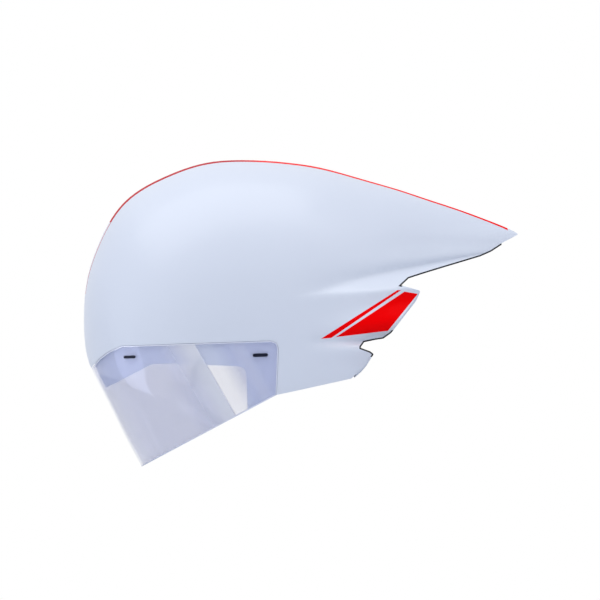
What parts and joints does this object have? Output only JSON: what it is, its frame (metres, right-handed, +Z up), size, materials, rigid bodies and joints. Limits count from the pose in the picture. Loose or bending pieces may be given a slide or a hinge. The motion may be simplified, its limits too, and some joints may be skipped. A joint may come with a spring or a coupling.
{
  "type": "aero time trial helmet",
  "caption": "Teardrop time trial helmet with a flush clip-on visor, ear covers, two winglets at the rear, a foam liner, a dial fit system and straps.",
  "frame": {"origin": "middle of the helmet's footprint on a table, at the height of the table", "axes": "+X towards the tail, +Y towards the wearer's right-hand side seen from the front, +Z up"},
  "size_m": [0.3904, 0.2002, 0.227],
  "materials": {
    "shell_white": "gloss",
    "foam": "matt",
    "lens": "gloss",
    "magnet": "polished",
    "clip": "satin",
    "pad": "matt",
    "web": "matt",
    "black_plastic": "satin",
    "red_plastic": "satin",
    "screw": "satin"
  },
  "bodies": {
    "helmet": {"outer_shell": "shell_white", "shell_magnets": "magnet", "foam_liner": "foam", "brow_pad": "pad", "crown_pads": "pad", "side_pads": "pad", "ear_pads": "pad", "strap_webs": "web", "push_pins": "black_plastic", "height_rail": "black_plastic", "arm_guides": "black_plastic", "strap_dividers": "black_plastic", "chin_strap_left": "web", "chin_strap_right": "web", "chin_pad": "pad", "buckle_socket": "black_plastic"},
    "visor": {"visor_lens": "lens", "visor_clips": "clip"},
    "cradle": {"nape_cradle": "black_plastic", "nape_pads": "pad", "dial_housing": "black_plastic", "housing_screws": "screw"},
    "dial": {"dial_knob": "red_plastic", "dial_pinion": "black_plastic", "dial_screw": "screw"},
    "left_arm": {"side_arm_left": "black_plastic"},
    "right_arm": {"side_arm_right": "black_plastic"},
    "left_lever": {"cam_lever_left": "black_plastic"},
    "right_lever": {"cam_lever_right": "black_plastic"},
    "plug": {"buckle_plug": "black_plastic"}
  },
  "joints": [
    {"name": "visor_slide", "type": "slide", "parent": "helmet", "child": "visor", "axis": [-1, 0, 0], "range_m": [0, 0.12]},
    {"name": "cradle_height", "type": "slide", "parent": "helmet", "child": "cradle", "axis": [-0.1253, 0, 0.9921], "range_m": [-0.006, 0.006]},
    {"name": "dial_turn", "type": "hinge", "parent": "cradle", "child": "dial", "pos_m": [-0.0373, 0, 0.07444], "axis": [0.9921, 0, 0.1253], "range_deg": [0, 168.03]},
    {"name": "left_arm_draw", "type": "hinge", "parent": "cradle", "child": "left_arm", "pos_m": [-0.0373, 0, 0.07444], "axis": [-0.1253, 0, 0.9921], "range_deg": [-13, 0.2]},
    {"name": "right_arm_draw", "type": "hinge", "parent": "cradle", "child": "right_arm", "pos_m": [-0.0373, 0, 0.07444], "axis": [0.1253, 0, -0.9921], "range_deg": [-13, 0.2]},
    {"name": "left_lever_turn", "type": "hinge", "parent": "helmet", "child": "left_lever", "pos_m": [-0.07855, 0.0681, 0.08183], "axis": [0.9921, 0, 0.1253], "range_deg": [0, 85]},
    {"name": "right_lever_turn", "type": "hinge", "parent": "helmet", "child": "right_lever", "pos_m": [-0.07855, -0.0681, 0.08183], "axis": [-0.9921, 0, -0.1253], "range_deg": [0, 85]},
    {"name": "plug_slide", "type": "slide", "parent": "helmet", "child": "plug", "axis": [0.9921, 0, 0.1253], "range_m": [0, 0.026], "deforming": ["chin_strap_left"]}
  ],
  "couplings": [
    {"joint": "left_arm_draw", "follows": "dial_turn", "ratio": -0.076356},
    {"joint": "right_arm_draw", "follows": "dial_turn", "ratio": -0.076356}
  ]
}
